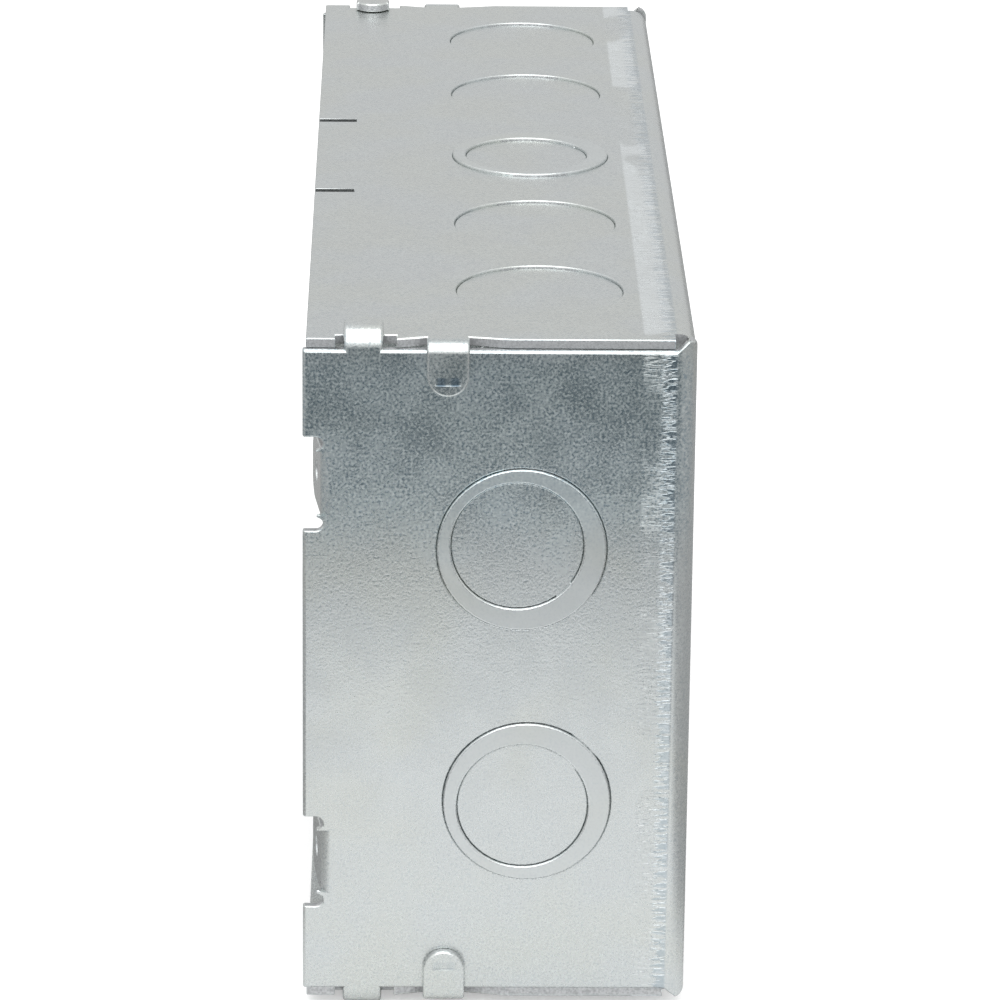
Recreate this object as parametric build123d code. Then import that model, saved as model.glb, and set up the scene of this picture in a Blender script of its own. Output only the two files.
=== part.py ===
from build123d import *
from math import cos, radians, sin
import os

# All sizes are in millimetres. X runs along the gangs, Y from the open front to the back, Z up.

# Gangs and overall size
gangs = 3                    # device places side by side
gang_pitch = 46.04           # one device to the next
end_space = 40.49            # from the last gang's edge to the end wall's outer face
height = 115.0               # over the two long walls
depth = 63.5                 # front edges of the end walls to the back face
length = gangs * gang_pitch + 2 * end_space

# Sheet and folds
sheet = 1.6                  # thickness of the galvanised sheet
fold_radius = 3.0            # outside radius of the four folds round the back
seam_gap = 0.1               # space between an end wall and the long walls
edge_step = 0.55             # front edges of the long walls stand back by this much
end_step = 0.9               # ends of the long walls stand back from the end walls' faces
corner_relief = 1.0          # open slot where two folds meet at a back corner
relief_run = 0.6             # how far that relief runs past the start of the fold
flare_run = 3.3              # back corners of the end walls flare out towards the long walls
flare_top = 1.5              # straight part of that flare
flare_gap = 0.1              # flare below the long wall's outer face
corner_round = 1.3

# Lock tabs at the corner seams
tab_gap = 0.15               # space under a folded tab
end_tab_width = 6.4          # tab of the end wall, folded over the long wall
end_tab_place = 9.8          # its centre line, from the front
end_tab_reach = 8.8
end_tab_bend = 3.3           # outside radius, a soft bend
side_tab_width = 6.9         # tab of the long wall, folded over the end wall
side_tab_place = 23.4
side_tab_reach = 9.1
side_tab_bend = 1.9          # outside radius, a tight bend
notch_front = 1.3            # room beside the end tab, towards the front
notch_back = 2.1             # and towards the back
notch_spare = 1.4            # room behind the end tab
side_relief_depth = 2.2      # cut beside the root of a side tab, from the end wall's face
side_relief_run = 6.5        # that cut tapers out over this length behind the tab
stake_length = 4.0           # flat punch mark that sets a side tab
stake_width = 1.3
stake_depth = 0.35
stake_from_tip = 2.6

# Cover ears on the front edges of the end walls
ear_spacing = 66.0           # centre to centre, up an end wall
ear_width = 11.2
ear_reach = 12.6             # from the end wall's outer face to the ear's tip
ear_setback = 1.45           # ear's tip behind the front edge
ear_lean = 7.0               # degrees that the bend falls short of a right angle
ear_bend = 1.9
ear_relief = 2.4             # slot at each side of an ear
ear_relief_depth = 3.3
ear_corner = 3.6
ear_hole_place = 7.15        # screw hole, from the end wall's outer face
ear_hole = 3.5               # tapped for a number 8 machine screw

# Slits for partitions, between gangs
slit_depth = 6.9
slit_width = 2.0

# Knockouts
trade_half = 22.2            # hole for half inch conduit
trade_three_quarter = 28.2   # hole for three quarter inch conduit
shear_gap = 0.3              # width of the sheared line
tie_width = 3.4              # uncut web that still holds a disc
tie_bite = 0.8
disc_drop = 0.45             # single discs are pushed in by this much
ring_rise = 0.5              # rings of the double knockouts stand proud
ring_offset = 1.0            # inner disc's centre, away from the tie
middle_pitch = 42.5          # middle knockout of a long wall to its neighbours
outer_pitch = 39.1           # and from each of those to the next one out
long_knockout_from_back = 24.9
long_knockout_margin = 20.0  # least distance from a centre to the end wall
end_knockout_pitch = 44.0
end_knockout_from_back = 27.3
end_knockout_stagger = 0.65  # the upper one lies forward, the lower one back

# Back
back_knockout_pitch = 92.08
back_hole = 5.2              # holes for fixing the box to a stud or a wall
back_hole_inset_x = 27.0     # from the end wall's outer face
back_hole_inset_z = 22.6     # from the long wall's outer face
ground_hole = 4.1            # tapped for a number 10 ground screw
ground_pad_top = 10.0        # flat of the raised pad
ground_pad_base = 15.0
ground_pad_rise = 2.4

# Places worked out from the sizes, with the middle of the box at the origin
end_face = length / 2
long_face = height / 2
front = -depth / 2
back = depth / 2
end_wall_half = long_face - sheet - seam_gap
fold_half = end_face - fold_radius - corner_relief
ear_turn = radians(90 - ear_lean)
ear_flat = (ear_reach - ear_bend * (1 - cos(ear_turn))) / sin(ear_turn)
ear_start = ear_setback + ear_bend * sin(ear_turn) + ear_flat * cos(ear_turn)
past = 1.0                   # how far a cutter runs past what it cuts
stand = sheet + tab_gap      # the folded end tabs stand this far off the long walls

on_end = Plane(origin=(end_face, 0, 0), x_dir=(0, 1, 0), z_dir=(1, 0, 0))
on_top = Plane(origin=(0, 0, long_face), x_dir=(1, 0, 0), z_dir=(0, 0, 1))
on_back = Plane(origin=(0, back, 0), x_dir=(-1, 0, 0), z_dir=(0, 1, 0))


def block(low, high):
    """Box between two opposite corners."""
    size = [b - a for a, b in zip(low, high)]
    middle = [(a + b) / 2 for a, b in zip(low, high)]
    return Pos(*middle) * Box(*size)


def both_ends(shape):
    """The shape at the +X end and its mirror image at the other end."""
    return [shape, mirror(shape, about=Plane.YZ)]


def both_sides(shape):
    """The shape on the upper long wall and its mirror image on the lower one."""
    return [shape, mirror(shape, about=Plane.XY)]


def four_corners(shape):
    return [copy for one in both_ends(shape) for copy in both_sides(one)]


def bent_strip(start, flat, bend, width, turn=90):
    """Strip of sheet folded once.

    Its outer face rises along +Y on X = 0 as far as start, turns towards -X with the outside
    radius bend and runs on for the length flat. The section lies in XY and the strip is width
    wide along Z.
    """
    inner = bend - sheet
    centre = Vector(-bend, start)
    out = Vector(1, 0).rotate(Axis.Z, turn)
    along = Vector(0, 1).rotate(Axis.Z, turn)
    outer_end = centre + out * bend
    inner_end = centre + out * inner
    section = make_face([
        Line((0, 0), (0, start)),
        CenterArc(centre, bend, 0, turn),
        Line(outer_end, outer_end + along * flat),
        Line(outer_end + along * flat, inner_end + along * flat),
        Line(inner_end + along * flat, inner_end),
        CenterArc(centre, inner, 0, turn),
        Line((-sheet, start), (-sheet, 0)),
        Line((-sheet, 0), (0, 0)),
    ])
    return extrude(section, amount=width / 2, both=True)


def folded_wall(rise, width):
    """Flat wall with a quarter fold that meets the back panel's edge."""
    inner = fold_radius - sheet
    start = rise - fold_radius
    section = make_face([
        Line((0, 0), (0, start)),
        CenterArc((-fold_radius, start), fold_radius, 0, 90),
        Line((-fold_radius, rise), (-fold_radius, rise - sheet)),
        CenterArc((-fold_radius, start), inner, 0, 90),
        Line((-sheet, start), (-sheet, 0)),
        Line((-sheet, 0), (0, 0)),
    ])
    return extrude(section, amount=width / 2, both=True)


def end_wall():
    """End wall at +X. It stands between the long walls and flares out at its back corners."""
    place = Plane(origin=(end_face, front, 0), x_dir=(1, 0, 0), z_dir=(0, 0, 1))
    wall = place * folded_wall(depth, height)
    top = long_face - flare_gap
    half = make_face(Polyline(
        (front, 0), (front, end_wall_half), (back - flare_run, end_wall_half),
        (back - flare_top, top), (back, top), (back, 0), close=True,
    ))
    rounded = fillet(half.vertices().group_by(Axis.Y)[-1].sort_by(Axis.X)[-1], corner_round)
    outline = on_end * (rounded + mirror(rounded, about=Plane.XZ))
    return wall & extrude(outline, amount=2 * fold_radius, both=True)


def long_wall():
    """Upper long wall, cut back at its ends so that its fold clears those of the end walls."""
    place = Plane(origin=(0, front + edge_step, long_face), x_dir=(0, 0, 1), z_dir=(-1, 0, 0))
    wall = place * folded_wall(depth - edge_step, length - 2 * end_step)
    low = (fold_half, back - fold_radius - relief_run, long_face - 2 * fold_radius)
    return wall - both_ends(block(low, (end_face + past, back + past, long_face + past)))


def back_panel():
    """Flat back up to the start of the four folds, with a relief cut into each corner."""
    panel = block(
        (-(end_face - fold_radius), back - sheet, -(long_face - fold_radius)),
        (end_face - fold_radius, back, long_face - fold_radius),
    )
    low = (fold_half, back - sheet - past, long_face - fold_radius - corner_relief / 2)
    return panel - four_corners(block(low, (end_face, back + past, long_face)))


def end_tab():
    """Tab of the end wall, folded over the upper long wall, with a round tip."""
    root = end_wall_half - past
    middle = front + end_tab_place
    place = Plane(origin=(end_face, middle, root), x_dir=(1, 0, 0), z_dir=(0, -1, 0))
    start = long_face + stand - end_tab_bend - root
    tip = end_tab_width / 2
    flat = end_tab_reach - tip - end_tab_bend
    strip = place * bent_strip(start, flat, end_tab_bend, end_tab_width)
    tip_place = Pos(end_face - end_tab_reach + tip, middle, long_face + tab_gap + sheet / 2)
    return strip + tip_place * Rot(0, 0, 90) * Cylinder(tip, sheet, arc_size=180)


def end_tab_notch():
    """Notch in the long wall's end edge that the end tab rises through."""
    middle = front + end_tab_place
    low_y = middle - end_tab_width / 2 - notch_front
    high_y = middle + end_tab_width / 2 + notch_back
    low = (end_face - sheet - notch_spare, low_y, long_face - sheet - past)
    return block(low, (end_face + past, high_y, long_face + past))


def side_tab():
    """Tab of the upper long wall, folded down over the end wall and set with a punch."""
    middle = front + side_tab_place
    outside = end_face + stand
    tip = side_tab_width / 2
    low = long_face - side_tab_reach + tip
    place = Plane(origin=(outside, middle, low), x_dir=(1, 0, 0), z_dir=(0, -1, 0))
    start = side_tab_reach - tip - side_tab_bend
    flat = stand + side_relief_depth + past - side_tab_bend
    strip = place * bent_strip(start, flat, side_tab_bend, side_tab_width)
    tip_place = Pos(outside - sheet / 2, middle, low) * Rot(0, 90, 0)
    mark_place = Pos(outside, middle, low - tip + stake_from_tip)
    mark = Box(2 * stake_depth, stake_length, stake_width)
    return strip + tip_place * Cylinder(tip, sheet) - mark_place * mark


def side_tab_reliefs():
    """Tapers in the long wall's end edge, deepest beside the side tab: before and behind it."""
    near = front + side_tab_place - side_tab_width / 2
    far = near + side_tab_width
    starts = (
        (near, front + end_tab_place + end_tab_width / 2 + notch_back),
        (far, far + side_relief_run),
    )
    cuts = []
    for deep, shallow in starts:
        taper = make_face(Polyline(
            (end_face - side_relief_depth, deep), (end_face + past, deep),
            (end_face + past, shallow), (end_face - end_step, shallow), close=True,
        ))
        cuts.append(extrude(Pos(0, 0, long_face + past) * taper, amount=-sheet - 2 * past))
    return cuts


def ear_room():
    """Gap in the end wall's front edge for one ear and its two round-ended reliefs."""
    gap = ear_width / 2 + ear_relief
    floor = front + ear_relief_depth
    radius = ear_relief / 2
    low = (end_face - sheet - past, front - past, -gap)
    room = block(low, (end_face + past, floor - radius, gap))
    centre = ear_width / 2 + radius
    rounds = [
        Pos(end_face, floor - radius, side * centre) * Rot(0, 90, 0) * Cylinder(radius, 4 * sheet)
        for side in (-1, 1)
    ]
    low = (end_face - sheet - past, front - past, -ear_width / 2)
    return room + rounds + block(low, (end_face + past, front + ear_start, ear_width / 2))


def ear():
    """Cover ear: bent in behind the front edge, rounded, with a hole for the cover's screw."""
    root = front + ear_start + past
    place = Plane(origin=(end_face, root, 0), x_dir=(1, 0, 0), z_dir=(0, 0, -1))
    strip = place * bent_strip(past, ear_flat + sheet, ear_bend, ear_width, 90 - ear_lean)
    side = Plane(origin=(end_face, front, 0), x_dir=(1, 0, 0), z_dir=(0, -1, 0))
    plate = side * Rectangle(2 * ear_reach, ear_width)
    plate = fillet(plate.vertices().group_by(Axis.X)[0], ear_corner)
    strip &= extrude(plate, amount=2 * ear_start, both=True)
    hole_place = Pos(end_face - ear_hole_place, front + ear_setback, 0) * Rot(90, 0, 0)
    return strip - hole_place * Cylinder(ear_hole / 2, 6 * sheet)


def slit():
    """Slit in the front edge of the upper long wall, on the middle plane."""
    low = (-slit_width / 2, front - past, long_face - sheet - past)
    floor = front + edge_step + slit_depth
    return block(low, (slit_width / 2, floor, long_face + past))


def disc(diameter, rise):
    """Sheared disc whose face stands rise above the wall's outer face."""
    return Pos(0, 0, rise - sheet / 2) * Cylinder(diameter / 2 - shear_gap, sheet)


def tie(diameter, angle, rise_a, rise_b):
    """Web across a sheared line, as thick as the two pieces of wall have in common."""
    top = min(rise_a, rise_b)
    bottom = max(rise_a, rise_b) - sheet
    web = Box(shear_gap + 2 * tie_bite, tie_width, top - bottom)
    radius = diameter / 2 - shear_gap / 2
    return Rot(0, 0, angle) * Pos(radius, 0, (top + bottom) / 2) * web


def single_knockout(diameter, angle):
    """One disc, pushed in a little and held by one tie."""
    return disc(diameter, -disc_drop) + tie(diameter, angle, 0, -disc_drop)


def double_knockout(angle):
    """A small disc inside a raised ring, each held by a tie on the same side."""
    ring = disc(trade_three_quarter, ring_rise)
    shift = Rot(0, 0, angle) * Pos(-ring_offset, 0, 0) * Rot(0, 0, -angle)
    ring -= shift * Cylinder(trade_half / 2, 6 * sheet)
    inner = disc(trade_half, 0) + tie(trade_half, angle, 0, ring_rise)
    return ring + tie(trade_three_quarter, angle, 0, ring_rise) + shift * inner


def knockout_hole(diameter):
    return Cylinder(diameter / 2, 6 * sheet)


def long_knockouts():
    """Row of knockouts on the upper long wall, the middle one double: holes and discs."""
    single = single_knockout(trade_three_quarter, 225)
    row = [(0, double_knockout(135))]
    x = middle_pitch
    while x <= end_face - long_knockout_margin:
        row += [(-x, single), (x, single)]
        x += outer_pitch
    holes, discs = [], []
    for x, plug in row:
        place = on_top * Pos(x, back - long_knockout_from_back)
        holes.append(place * knockout_hole(trade_three_quarter))
        discs.append(place * plug)
    return holes, discs


def end_knockouts():
    """Two double knockouts on the end wall at +X: holes and discs."""
    holes, discs = [], []
    for side, angle in ((1, -45), (-1, 45)):
        y = back - end_knockout_from_back - side * end_knockout_stagger
        place = on_end * Pos(y, side * end_knockout_pitch / 2)
        holes.append(place * knockout_hole(trade_three_quarter))
        discs.append(place * double_knockout(angle))
    return holes, discs


def back_knockouts():
    """Two single knockouts on the back: holes and discs."""
    places = [on_back * Pos(side * back_knockout_pitch / 2, 0) for side in (-1, 1)]
    holes = [place * knockout_hole(trade_half) for place in places]
    return holes, [place * single_knockout(trade_half, 225) for place in places]


def back_holes():
    """Four plain holes for fixing the box by its back."""
    x = end_face - back_hole_inset_x
    z = long_face - back_hole_inset_z
    return four_corners(Pos(x, back, z) * Rot(90, 0, 0) * Cylinder(back_hole / 2, 4 * sheet))


def ground_pad():
    """Pad pressed into the box from the back, so that a ground screw's tip stays inside it."""
    base = ground_pad_base / 2
    top = ground_pad_top / 2
    hole = ground_hole / 2
    slope = ((base - top) ** 2 + ground_pad_rise ** 2) ** 0.5
    lean = sheet * (slope - (base - top)) / ground_pad_rise
    inside = -ground_pad_rise - sheet
    section = make_face(Polyline(
        (hole, -ground_pad_rise), (top, -ground_pad_rise), (base, 0), (base + lean, -sheet),
        (top + lean, inside), (hole, inside), (hole, -ground_pad_rise),
    ).edges())
    return on_back * revolve(Rot(90, 0, 0) * section, Axis.Z)


def build_box():
    """The whole box, folded from one sheet, as one solid."""
    cuts = both_sides(end_tab_notch()) + [c for cut in side_tab_reliefs() for c in both_sides(cut)]
    walls = Part() + both_sides(long_wall())
    walls -= [end for cut in cuts for end in both_ends(cut)]
    partition_slits = [
        Pos((index - (gangs - 2) / 2) * gang_pitch, 0, 0) * slit() for index in range(gangs - 1)
    ]
    walls -= [side for one in partition_slits for side in both_sides(one)]

    ears = [Pos(0, 0, side * ear_spacing / 2) for side in (-1, 1)]
    ends = end_wall() - [place * ear_room() for place in ears] + [place * ear() for place in ears]
    box = walls + both_ends(ends) + back_panel()
    box += four_corners(end_tab())
    box += four_corners(side_tab())

    box -= on_back * Cylinder(ground_pad_base / 2, 4 * sheet)
    box += ground_pad()
    box -= back_holes()
    rows = [
        (long_knockouts(), both_sides),
        (end_knockouts(), both_ends),
        (back_knockouts(), lambda shape: [shape]),
    ]
    for (holes, discs), copies in rows:
        box -= [copy for hole in holes for copy in copies(hole)]
        box += [copy for plug in discs for copy in copies(plug)]
    return Pos(0, 0, long_face + stand) * box


os.makedirs("parts", exist_ok=True)
box_body = build_box()
export_step(box_body, "parts/box_body.step")
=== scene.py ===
import math

import bmesh
import bpy
from mathutils import Matrix, Vector
from mathutils.bvhtree import BVHTree


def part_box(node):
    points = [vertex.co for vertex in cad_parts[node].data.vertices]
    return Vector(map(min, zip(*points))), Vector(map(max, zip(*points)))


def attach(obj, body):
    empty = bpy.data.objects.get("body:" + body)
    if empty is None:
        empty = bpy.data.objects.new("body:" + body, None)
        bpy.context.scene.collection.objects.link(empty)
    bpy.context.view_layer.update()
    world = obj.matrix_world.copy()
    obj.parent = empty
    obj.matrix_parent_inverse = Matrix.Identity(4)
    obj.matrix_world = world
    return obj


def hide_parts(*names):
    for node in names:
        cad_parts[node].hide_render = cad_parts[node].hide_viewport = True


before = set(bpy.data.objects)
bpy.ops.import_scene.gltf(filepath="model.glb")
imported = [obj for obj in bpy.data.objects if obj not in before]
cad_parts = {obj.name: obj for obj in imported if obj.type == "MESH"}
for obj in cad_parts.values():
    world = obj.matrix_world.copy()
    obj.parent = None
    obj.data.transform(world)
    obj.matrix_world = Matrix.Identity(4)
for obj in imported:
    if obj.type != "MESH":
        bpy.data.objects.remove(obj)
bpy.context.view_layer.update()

MM = 0.001

# Places on the folded box, in millimetres. Heights are from the middle of the end walls.
box_low, box_high = (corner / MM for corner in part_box("box_body"))
sheet = 1.6
tab_stand = 1.75
end_face = box_high.x - tab_stand
long_face = (box_high.z - box_low.z) / 2 - tab_stand
mid_z = (box_high.z + box_low.z) / 2
front = box_low.y
back = box_high.y
ring_rise = 0.5
end_knockouts = [(back - 27.95, 22.0), (back - 26.65, -22.0)]
long_knockouts = [(x, back - 24.9) for x in (-81.6, -42.5, 0, 42.5, 81.6)]
end_inner_discs = [(back - 28.657, 22.707), (back - 27.357, -22.707)]
long_inner_discs = [(0.707, back - 25.607)]
knockout_reach = 14.4
outer_radius, inner_radius = 14.1, 11.1
hole_from = 13.7
closed_by = 0.26
ear_height = 33.0
slit_place = 23.0
punch_mark = (front + 23.4, long_face - 6.5)

# How far each kind of edge is rounded, in millimetres
ROUNDING = {
    "inner": 0.12, "front corner": 0.3, "corner": 0.15, "punch mark": 0.1, "side tab": 0.45,
    "end tab": 0.4, "ring": 0.3, "hole": 0.3, "disc": 0.25, "slit": 0.1, "ear": 0.3,
    "end wall top": 0.6, "end wall": 0.45, "plain": 0.25,
}
sharp_from = math.radians(28)
flat_below = math.radians(0.6)

# Material slots of the box
SHEET, CUT_EDGE, RING = 0, 1, 2


# Node helpers

def node(tree, kind, **values):
    """A shader node with its settings and its unlinked inputs filled in."""
    made = tree.nodes.new(kind)
    for name, value in values.items():
        if name in made.inputs:
            made.inputs[name].default_value = value
        else:
            setattr(made, name, value)
    return made


def new_material(name):
    material = bpy.data.materials.new(name)
    material.use_nodes = True
    material.node_tree.nodes.clear()
    return material, material.node_tree


def math_node(tree, operation, first, second=None, clamp=False):
    """Math node whose inputs are sockets or plain numbers."""
    made = tree.nodes.new("ShaderNodeMath")
    made.operation = operation
    made.use_clamp = clamp
    for place, value in enumerate((first, second)):
        if value is None:
            continue
        if isinstance(value, (int, float)):
            made.inputs[place].default_value = value
        else:
            tree.links.new(value, made.inputs[place])
    return made.outputs[0]


def product(tree, first, *others):
    for other in others:
        first = math_node(tree, "MULTIPLY", first, other)
    return first


def total(tree, first, *others):
    for other in others:
        first = math_node(tree, "ADD", first, other)
    return first


def distance(tree, value, centre):
    return math_node(tree, "ABSOLUTE", math_node(tree, "SUBTRACT", value, centre))


def ramp_between(tree, value, low, high, start=0.0, end=1.0):
    """Smooth change from start to end as a value goes from low to high."""
    made = node(tree, "ShaderNodeMapRange", interpolation_type="SMOOTHSTEP")
    made.inputs["From Min"].default_value = low
    made.inputs["From Max"].default_value = high
    made.inputs["To Min"].default_value = start
    made.inputs["To Max"].default_value = end
    tree.links.new(value, made.inputs["Value"])
    return made.outputs["Result"]


def strip_of(tree, value, start, full, last, gone):
    """1 while a value goes from full to last, with soft ends at start and gone."""
    return product(tree, ramp_between(tree, value, start, full),
                   ramp_between(tree, value, last, gone, 1.0, 0.0))


def noise(tree, vector, scale, detail=2.0, roughness=0.5, distortion=0.0, seed=0.0):
    """Noise on millimetre coordinates: scale is in features per millimetre."""
    made = node(tree, "ShaderNodeTexNoise", noise_dimensions="4D")
    made.inputs["Scale"].default_value = scale
    made.inputs["Detail"].default_value = detail
    made.inputs["Roughness"].default_value = roughness
    made.inputs["Distortion"].default_value = distortion
    made.inputs["W"].default_value = seed
    tree.links.new(vector, made.inputs["Vector"])
    return made.outputs["Fac"]


def stretched(tree, vector, scale):
    made = node(tree, "ShaderNodeVectorMath", operation="MULTIPLY")
    tree.links.new(vector, made.inputs[0])
    made.inputs[1].default_value = scale
    return made.outputs["Vector"]


def box_place(tree):
    """Object coordinates in millimetres, as a vector and as its three parts."""
    coordinates = node(tree, "ShaderNodeTexCoord")
    place = stretched(tree, coordinates.outputs["Object"], (1 / MM, 1 / MM, 1 / MM))
    split = node(tree, "ShaderNodeSeparateXYZ")
    tree.links.new(place, split.inputs["Vector"])
    return place, split.outputs["X"], split.outputs["Y"], split.outputs["Z"]


def colour_mix(tree, factor, first, second):
    """Colour between two, each a socket or a plain colour."""
    made = node(tree, "ShaderNodeMix", data_type="RGBA")
    for name, value in (("Factor", factor), ("A", first), ("B", second)):
        for socket in made.inputs:
            if socket.name == name and socket.enabled:
                if isinstance(value, (int, float, tuple)):
                    socket.default_value = value
                else:
                    tree.links.new(value, socket)
    for socket in made.outputs:
        if socket.enabled:
            return socket


def metal(tree, tone, rough, height, strength, depth):
    """Metal with a colour, a roughness and a relief of some depth in millimetres."""
    link = tree.links.new
    bump = node(tree, "ShaderNodeBump")
    bump.inputs["Strength"].default_value = strength
    bump.inputs["Distance"].default_value = depth * MM
    link(height, bump.inputs["Height"])
    shader = node(tree, "ShaderNodeBsdfPrincipled")
    shader.inputs["Metallic"].default_value = 1.0
    link(tone, shader.inputs["Base Color"])
    link(rough, shader.inputs["Roughness"])
    link(bump.outputs["Normal"], shader.inputs["Normal"])
    out = node(tree, "ShaderNodeOutputMaterial")
    link(shader.outputs["BSDF"], out.inputs["Surface"])


# Galvanised sheet

def die_marks(tree, place, along, upward, streaks):
    """Marks that the folding die left in front of the back folds: a thin smear, dark polished
    strokes, pale scraped strokes, and patches rubbed pale on the long walls."""
    fine_strokes = noise(tree, stretched(tree, place, (2.4, 0.42, 2.4)), 1.0,
                         distortion=0.2, seed=5.0)
    dark_strokes = noise(tree, stretched(tree, place, (2.0, 0.34, 2.0)), 1.0,
                         roughness=0.6, distortion=0.2, seed=6.0)
    patches = ramp_between(tree, noise(tree, place, 0.14, seed=21.0), 0.40, 0.56)
    smear = product(tree, strip_of(tree, along, back - 9.2, back - 8.2, back - 5.8, back - 5.0),
                    patches, ramp_between(tree, fine_strokes, 0.45, 0.60))

    pressed = strip_of(tree, along, back - 6.2, back - 5.2, back - 3.5, back - 3.0)
    toward_fold = product(tree, math_node(tree, "SUBTRACT", along, back - 5.0), 0.05)
    polish = product(tree, pressed, ramp_between(tree, total(tree, dark_strokes, toward_fold),
                                                 0.48, 0.58))
    scraped = product(tree, pressed, ramp_between(tree, fine_strokes, 0.50, 0.60))

    long_patches = noise(tree, place, 0.055, detail=1.0, seed=31.0)
    rubbed = product(tree, strip_of(tree, along, back - 8.8, back - 8.3, back - 4.4, back - 3.6),
                     ramp_between(tree, long_patches, 0.44, 0.48),
                     ramp_between(tree, fine_strokes, 0.35, 0.5, 0.6, 0.9),
                     ramp_between(tree, upward, long_face - 1.2, long_face - 0.5, 0.0, streaks))
    return smear, polish, scraped, rubbed


def high_dark_reflection(tree, outward, height, upward, clouds):
    """Painted dark reflection: darker, bluer zinc high on the end walls, weaker at their very top
    and on the lock tabs.
    """
    edge = total(tree, height, product(tree, clouds, 15))
    return product(tree, ramp_between(tree, edge, mid_z + 25, mid_z + 41),
                   ramp_between(tree, outward, end_face - 1.5, end_face - 0.5),
                   ramp_between(tree, upward, long_face - 6, long_face - 1, 1.0, 0.45),
                   ramp_between(tree, outward, end_face + 0.8, end_face + 1.3, 1.0, 0.3))


def struck_dent_shade(tree, outward, along, height, upward):
    """Painted shade in the two dents of each lock tab on an end wall, fainter on the lower tabs."""
    aside = distance(tree, along, punch_mark[0])
    above = distance(tree, upward, punch_mark[1])
    return product(tree, ramp_between(tree, aside, 2.1, 1.5),
                   ramp_between(tree, aside, 0.2, 0.8, 0.3, 1.0),
                   ramp_between(tree, above, 0.9, 0.6),
                   ramp_between(tree, outward, end_face + 0.3, end_face + 0.6),
                   ramp_between(tree, height, mid_z - 5, mid_z + 5, 0.2, 1.0))


def galvanised_sheet(name, speck=1.0, streaks=1.0, roughness=0.26):
    """Dull zinc: grain a few tenths wide, soft blue and green clouds, the marks of the die,
    painted shade in the punched dents and a painted dark reflection high on the end walls.
    Speck and streaks say how strong the grain and the die marks are."""
    material, tree = new_material(name)
    place, across, along, height = box_place(tree)
    outward = math_node(tree, "ABSOLUTE", across)
    upward = distance(tree, height, mid_z)
    grain = noise(tree, place, 2.3)
    worms = noise(tree, place, 0.9, distortion=1.4, seed=3.0)
    clouds = noise(tree, place, 0.13, detail=3.0, roughness=0.55, distortion=0.4, seed=7.0)
    tint = noise(tree, place, 0.06, seed=11.0)
    smear, polish, scraped, rubbed = die_marks(tree, place, along, upward, streaks)
    dark_reflection = high_dark_reflection(tree, outward, height, upward, clouds)
    struck = struck_dent_shade(tree, outward, along, height, upward)

    spread = total(tree, product(tree, dark_reflection, 0.52 * speck), 0.24 * speck)
    tone = colour_mix(tree, ramp_between(tree, tint, 0.38, 0.62),
                      (0.600, 0.628, 0.630, 1), (0.605, 0.628, 0.610, 1))
    for amount, colour in (
            # painted dark reflection high on the end walls, standing in for the dark surroundings
            # they mirror
            (product(tree, dark_reflection, 0.5), (0.46, 0.545, 0.58, 1)),
            (product(tree, ramp_between(tree, grain, 0.47, 0.36), spread), (0.33, 0.41, 0.46, 1)),
            (product(tree, ramp_between(tree, grain, 0.53, 0.64), spread), (0.70, 0.75, 0.75, 1)),
            (product(tree, smear, 0.16 * streaks), (0.76, 0.79, 0.80, 1)),
            (rubbed, (0.78, 0.82, 0.83, 1)),
            (product(tree, polish, 0.42 * streaks), (0.28, 0.37, 0.44, 1)),
            (product(tree, scraped, 0.35 * streaks), (0.80, 0.84, 0.86, 1)),
            # painted shade in the punched dents of the lock tabs
            (product(tree, struck, 0.85), (0.24, 0.31, 0.37, 1))):
        tone = colour_mix(tree, amount, tone, colour)

    rough = total(tree, ramp_between(tree, clouds, 0.3, 0.7, roughness - 0.03, roughness + 0.05),
                  ramp_between(tree, grain, 0.3, 0.7, -0.06 * speck, 0.06 * speck),
                  product(tree, smear, 0.06 * streaks), product(tree, polish, -0.08 * streaks))

    smooth_fold = ramp_between(tree, along, back - 3.4, back - 2.4, 1.0, 0.15)
    relief = product(tree, total(tree, product(tree, grain, 0.35 * speck),
                                 product(tree, worms, 0.35 * speck)), smooth_fold)
    relief = total(tree, relief, product(tree, smear, 0.5 * streaks),
                   product(tree, polish, 0.6 * streaks))
    metal(tree, tone, rough, relief, 1.0, 0.06)
    return material


def sheared_edge():
    """Cut edge of the sheet: rough grey steel with zinc dragged over it, with painted shade on the
    cut faces inside the slits.
    """
    material, tree = new_material("sheared_edge")
    place, across, along, _ = box_place(tree)
    tear = noise(tree, place, 2.6, detail=3.0, roughness=0.6, distortion=0.3, seed=2.0)
    beside = distance(tree, math_node(tree, "ABSOLUTE", across), slit_place)
    slit_shade = product(tree, ramp_between(tree, beside, 1.6, 1.2),
                      ramp_between(tree, along, front + 10, front + 9))
    tone = colour_mix(tree, ramp_between(tree, tear, 0.35, 0.62),
                      (0.41, 0.42, 0.43, 1), (0.55, 0.56, 0.57, 1))
    # painted shade: the cut faces inside the slits are darkened
    tone = colour_mix(tree, slit_shade, tone, (0.16, 0.17, 0.17, 1))
    metal(tree, tone, ramp_between(tree, tear, 0.3, 0.7, 0.62, 0.40), tear, 0.7, 0.08)
    return material


# Folded box with rounded edges

def middle_of(edge):
    """Middle of an edge in millimetres, with its height from the middle of the end walls."""
    x, y, z = (edge.verts[0].co + edge.verts[1].co) / 2 / MM
    return x, y, z - mid_z


def in_knockout(x, y, z):
    """Whether a point lies in a knockout of an outer wall. X is its distance from the middle,
    because the ends mirror each other."""
    if x > end_face - 3:
        spots, place = end_knockouts, (y, z)
    elif abs(z) > long_face - 3:
        spots, place = long_knockouts, (x, y)
    else:
        return False
    return any(math.dist(spot, place) < knockout_reach for spot in spots)


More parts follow.
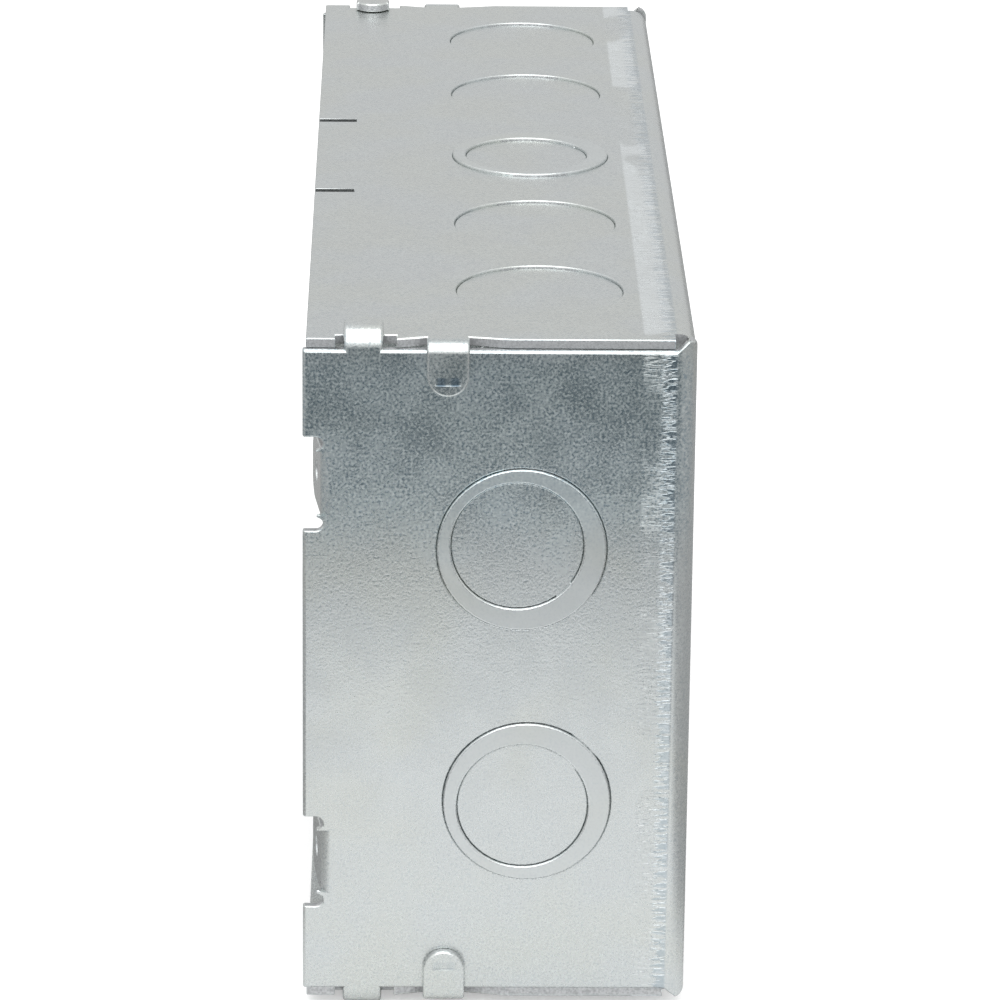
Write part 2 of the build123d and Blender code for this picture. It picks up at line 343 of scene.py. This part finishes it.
def side_of(edge):
    """Which side of the sheet an edge lies on: outer, inner, or a corner between cut edges."""
    for face in edge.link_faces:
        if face.material_index != CUT_EDGE:
            x, y, z = middle_of(edge)
            away = Vector((x / end_face, y / back, z / long_face))
            return "outer" if face.normal.dot(away) > 0 else "inner"
    return "corner"


def kind_of(edge, side):
    """The feature that a sharp edge belongs to, as ROUNDING names them."""
    x, y, z = middle_of(edge)
    x, high = abs(x), abs(z)
    at_front = y < front + 0.1
    if side == "inner":
        return "inner"
    if side == "corner":
        return "front corner" if at_front else "corner"
    if x > end_face + 1.6 and abs(y - punch_mark[0]) < 2.2 and abs(high - punch_mark[1]) < 0.8:
        return "punch mark"
    if x > end_face + 0.8:
        return "side tab"
    if high > long_face + 0.8:
        return "end tab"
    if x > end_face + 0.3 or high > long_face + 0.3:
        return "ring"
    if in_knockout(x, y, z):
        far = min(math.dist(spot, (y, z)) for spot in end_knockouts) > hole_from
        return "hole" if x > end_face - 3 and far else "disc"
    if high > long_face - 2 and y < front + 14 and abs(x - slit_place) < 1.5:
        return "slit"
    if x > end_face - 3 and y < front + 5.2 and abs(high - ear_height) < 8.3:
        return "ear"
    if abs(x - end_face) < 0.02:
        at_top = high < long_face - 1.5 and (high > long_face - 1.9 or at_front)
        return "end wall top" if at_top else "end wall"
    return "plain"


def too_tight(edge):
    """Whether an edge is at an ear's root or at the open slot of a back corner, too close to
    its neighbours to be rounded."""
    x, y, z = middle_of(edge)
    x, high = abs(x), abs(z)
    if x > end_face - 4.5 and y > back - 4:
        return x < end_face - 2.4 and high > long_face - 4
    aside = abs(high - ear_height)
    return x > end_face - 3 and front + 2.2 < y < front + 5.4 and 5.2 < aside < 6.0


def even_chains(rounding, sides):
    """Gives every smooth run of edges one width, the largest of its features."""
    waiting = set(rounding)
    while waiting:
        chain, ends = [], [waiting.pop()]
        while ends:
            edge = ends.pop()
            chain.append(edge)
            for vertex in edge.verts:
                along = (edge.other_vert(vertex).co - vertex.co).normalized()
                for other in vertex.link_edges:
                    if other in waiting and sides[other] == sides[edge]:
                        onward = (other.other_vert(vertex).co - vertex.co).normalized()
                        if along.dot(onward) < -0.8:
                            waiting.discard(other)
                            ends.append(other)
        widest = max(rounding[edge] for edge in chain)
        for edge in chain:
            rounding[edge] = widest


def is_cut_edge(tree, face):
    """Whether a face is a cut edge of the sheet: far more than one thickness lies behind it."""
    middle = face.calc_center_median()
    hit = tree.ray_cast(middle - face.normal * 0.02 * MM, -face.normal)
    return hit[0] is None or hit[3] > (sheet + 0.5) * MM


def close_shear_lines(shape):
    """Draws the sheet in round the knockouts, because a struck disc sits tight in its hole."""
    for vertex in shape.verts:
        x, y, z = vertex.co / MM
        at_end = abs(x) > end_face - sheet - 0.6
        if at_end:
            flat, circles = Vector((y, z - mid_z)), (end_knockouts, end_inner_discs)
        elif abs(z - mid_z) > long_face - sheet - 0.6:
            flat, circles = Vector((x, y)), (long_knockouts, long_inner_discs)
        else:
            continue
        for radius, spots in zip((outer_radius, inner_radius), circles):
            for spot in spots:
                out = flat - Vector(spot)
                if abs(out.length - radius) < 0.04:
                    step = -out.normalized() * closed_by * MM
                    vertex.co += Vector((0, step.x, step.y) if at_end else (step.x, step.y, 0))


def faces_out(face):
    """Whether a face lies along an end wall or a long wall, not across the sheet."""
    return max(abs(face.normal.x), abs(face.normal.z)) > 0.9


def is_seam(edge):
    """Whether an edge only divides one flat face."""
    one, other = edge.link_faces
    return one.material_index == other.material_index and edge.calc_face_angle() < flat_below


def squareness(seam):
    """Smallest angle at which a seam in a flat face meets the face's outline."""
    angles = [math.pi / 2]
    for vertex in seam.verts:
        along = seam.other_vert(vertex).co - vertex.co
        for edge in vertex.link_edges:
            if edge is not seam and not is_seam(edge):
                angles.append(along.angle(edge.other_vert(vertex).co - vertex.co))
    return min(angles)


def lay_seams_square(shape):
    """Leaves each flat face only the seams that its holes need, those that meet its outline
    most squarely, so that the rounding doesn't fold over them."""
    seams = [edge for edge in shape.edges if is_seam(edge)]
    bmesh.ops.beautify_fill(shape, faces=shape.faces, edges=seams, method="ANGLE")
    seams = [edge for edge in shape.edges if is_seam(edge)]
    for seam in sorted(seams, key=squareness):
        if seam.is_valid:
            one, other = seam.link_faces
            if len(set(one.verts) & set(other.verts)) == 2:
                bmesh.utils.face_join((one, other))
    straight = [vertex for vertex in shape.verts if len(vertex.link_edges) == 2
                and vertex.calc_edge_angle() < flat_below]
    bmesh.ops.dissolve_verts(shape, verts=straight)


def folded_box():
    """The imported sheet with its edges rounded, as shearing and pressing leave them."""
    shape = bmesh.new()
    shape.from_mesh(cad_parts["box_body"].data)
    bmesh.ops.remove_doubles(shape, verts=shape.verts, dist=0.002 * MM)
    close_shear_lines(shape)
    shape.normal_update()
    solid = BVHTree.FromBMesh(shape)
    for face in shape.faces:
        middle = face.calc_center_median() / MM
        x, z = abs(middle.x), abs(middle.z - mid_z)
        if in_knockout(x, middle.y, middle.z - mid_z) and not faces_out(face):
            face.material_index = RING
        elif is_cut_edge(solid, face):
            face.material_index = CUT_EDGE
        elif abs(x - end_face - ring_rise) < 0.1 or abs(z - long_face - ring_rise) < 0.1:
            face.material_index = RING
        else:
            face.material_index = SHEET
    lay_seams_square(shape)
    weight = shape.edges.layers.float.new("bevel_weight_edge")
    for face in shape.faces:
        face.smooth = True
    rounding, sides = {}, {}
    for edge in shape.edges:
        if edge.calc_face_angle(0) > sharp_from:
            edge.smooth = False
            if edge.is_convex and edge.calc_length() > 0.06 * MM and not too_tight(edge):
                sides[edge] = side_of(edge)
                rounding[edge] = ROUNDING[kind_of(edge, sides[edge])]
    even_chains(rounding, sides)
    widest = max(ROUNDING.values())
    for edge, width in rounding.items():
        edge.smooth = True
        edge[weight] = width / widest
    mesh = bpy.data.meshes.new("folded_box")
    shape.to_mesh(mesh)
    shape.free()
    box = bpy.data.objects.new("folded_box", mesh)
    bpy.context.scene.collection.objects.link(box)
    rounded = box.modifiers.new("rounded_edges", "BEVEL")
    rounded.limit_method = "WEIGHT"
    rounded.offset_type = "OFFSET"
    rounded.width = widest * MM
    rounded.segments = 3
    rounded.profile = 0.5
    rounded.material = SHEET
    rounded.use_clamp_overlap = False
    even = box.modifiers.new("even_shading", "WEIGHTED_NORMAL")
    even.keep_sharp = True
    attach(box, "root")
    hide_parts("box_body")
    return box

# Studio

def ground_sheet(name, size, height):
    """Flat square on the ground, part of the studio."""
    shape = bmesh.new()
    bmesh.ops.create_grid(shape, x_segments=1, y_segments=1, size=size)
    bmesh.ops.translate(shape, verts=shape.verts, vec=(0, 0, height))
    mesh = bpy.data.meshes.new(name)
    shape.to_mesh(mesh)
    shape.free()
    sheet = bpy.data.objects.new(name, mesh)
    bpy.context.scene.collection.objects.link(sheet)
    return sheet


def studio_floor():
    """Pale floor that shows as plain white, apart from the box's shadow."""
    floor = ground_sheet("floor", 3.0, 0)
    material, tree = new_material("floor_white")
    link = tree.links.new
    paint = node(tree, "ShaderNodeBsdfDiffuse")
    paint.inputs["Color"].default_value = (0.70, 0.70, 0.70, 1)
    rays = node(tree, "ShaderNodeLightPath")
    mirrored = math_node(tree, "MULTIPLY", rays.outputs["Is Glossy Ray"], 0.1)
    seen = math_node(tree, "ADD", rays.outputs["Is Camera Ray"], mirrored)
    seen = math_node(tree, "ADD", seen, rays.outputs["Is Transmission Ray"], clamp=True)
    glow = node(tree, "ShaderNodeEmission")
    glow.inputs["Color"].default_value = (1, 1, 1, 1)
    link(math_node(tree, "MULTIPLY", seen, 0.40), glow.inputs["Strength"])
    both = node(tree, "ShaderNodeAddShader")
    link(paint.outputs["BSDF"], both.inputs[0])
    link(glow.outputs["Emission"], both.inputs[1])
    out = node(tree, "ShaderNodeOutputMaterial")
    link(both.outputs["Shader"], out.inputs["Surface"])
    floor.data.materials.append(material)


def grey_apron():
    """Grey sheet on the floor that only the metal mirrors: mid grey beside and behind the
    box, open in front of the near end wall, and dark beyond that."""
    apron = ground_sheet("grey_apron", 2.9, 0.3 * MM)
    material, tree = new_material("apron_grey")
    link = tree.links.new
    _, ahead, along, _ = box_place(tree)
    off_middle = math_node(tree, "ABSOLUTE", along)
    aside = ramp_between(tree, off_middle, back + 8, back + 60)
    behind = ramp_between(tree, ahead, end_face, end_face - 40)
    far = product(tree, ramp_between(tree, ahead, end_face + 165, end_face + 255),
                  ramp_between(tree, off_middle, back + 60, back + 160, 1.0, 0.0))
    cover = math_node(tree, "MAXIMUM", math_node(tree, "MAXIMUM", aside, behind), far)
    clear = node(tree, "ShaderNodeBsdfTransparent")
    paint = node(tree, "ShaderNodeBsdfDiffuse")
    link(colour_mix(tree, far, (0.34, 0.34, 0.34, 1), (0.08, 0.10, 0.11, 1)), paint.inputs["Color"])
    mix = node(tree, "ShaderNodeMixShader")
    link(cover, mix.inputs["Fac"])
    link(clear.outputs["BSDF"], mix.inputs[1])
    link(paint.outputs["BSDF"], mix.inputs[2])
    out = node(tree, "ShaderNodeOutputMaterial")
    link(mix.outputs["Shader"], out.inputs["Surface"])
    apron.data.materials.append(material)
    apron.visible_camera = False
    apron.visible_diffuse = False
    apron.visible_shadow = False
    apron.visible_transmission = False


def softbox(name, place, aim, width, height, power):
    lamp = bpy.data.lights.new(name, "AREA")
    lamp.shape = "RECTANGLE"
    lamp.size, lamp.size_y = width, height
    lamp.energy = power
    holder = bpy.data.objects.new(name, lamp)
    holder.location = place
    holder.rotation_euler = (Vector(aim) - Vector(place)).to_track_quat("-Z", "Y").to_euler()
    bpy.context.scene.collection.objects.link(holder)
    return holder


def studio_world():
    """White surroundings, a little dimmer low down behind the box."""
    world = bpy.data.worlds.new("studio")
    bpy.context.scene.world = world
    world.use_nodes = True
    tree = world.node_tree
    tree.nodes.clear()
    link = tree.links.new
    rays = node(tree, "ShaderNodeLightPath")
    coordinates = node(tree, "ShaderNodeTexCoord")
    toward = node(tree, "ShaderNodeVectorMath", operation="DOT_PRODUCT")
    link(coordinates.outputs["Generated"], toward.inputs[0])
    toward.inputs[1].default_value = (0.60, -0.10, 0.79)
    lit = node(tree, "ShaderNodeBackground")
    lit.inputs["Color"].default_value = (1, 1, 1, 1)
    link(ramp_between(tree, toward.outputs["Value"], -0.55, 0.75, 0.72, 1.05),
         lit.inputs["Strength"])
    seen = node(tree, "ShaderNodeBackground")
    seen.inputs["Color"].default_value = (1, 1, 1, 1)
    seen.inputs["Strength"].default_value = 1.0
    mix = node(tree, "ShaderNodeMixShader")
    out = node(tree, "ShaderNodeOutputWorld")
    link(rays.outputs["Is Camera Ray"], mix.inputs["Fac"])
    link(lit.outputs["Background"], mix.inputs[1])
    link(seen.outputs["Background"], mix.inputs[2])
    link(mix.outputs["Shader"], out.inputs["Surface"])

# Camera

def photo_camera():
    """Long lens that looks at the near end wall from a little above, as the photo does."""
    place = Vector((964.72, -15.23, 387.68)) * MM
    forward = Vector((-0.944197, 0.01702027, -0.32894124))
    down = Vector((0.32906573, 0.00503937, -0.94429357))
    right = down.cross(forward)
    data = bpy.data.cameras.new("photo_camera")
    data.sensor_width = 36
    data.lens = 5602.4 * 36 / 1000
    data.clip_start, data.clip_end = 0.05, 20
    camera = bpy.data.objects.new("photo_camera", data)
    turn = Matrix((right, -down, -forward)).transposed()
    camera.matrix_world = Matrix.Translation(place) @ turn.to_4x4()
    bpy.context.scene.collection.objects.link(camera)
    bpy.context.scene.camera = camera


box = folded_box()
box.data.materials.append(galvanised_sheet("galvanised_steel"))
box.data.materials.append(sheared_edge())
box.data.materials.append(galvanised_sheet("burnished_zinc", 0.5, 0.0, 0.36))

studio_floor()
grey_apron()
softbox("overhead", (0.4, -0.1, 1.35), (0, 0, 0.06), 1.3, 1.3, 8)
softbox("front_strip", (1.25, -0.1, 1.05), (0.11, 0, 0.06), 1.7, 1.06, 8.5)
studio_world()
photo_camera()
bpy.context.scene.view_settings.view_transform = "Standard"
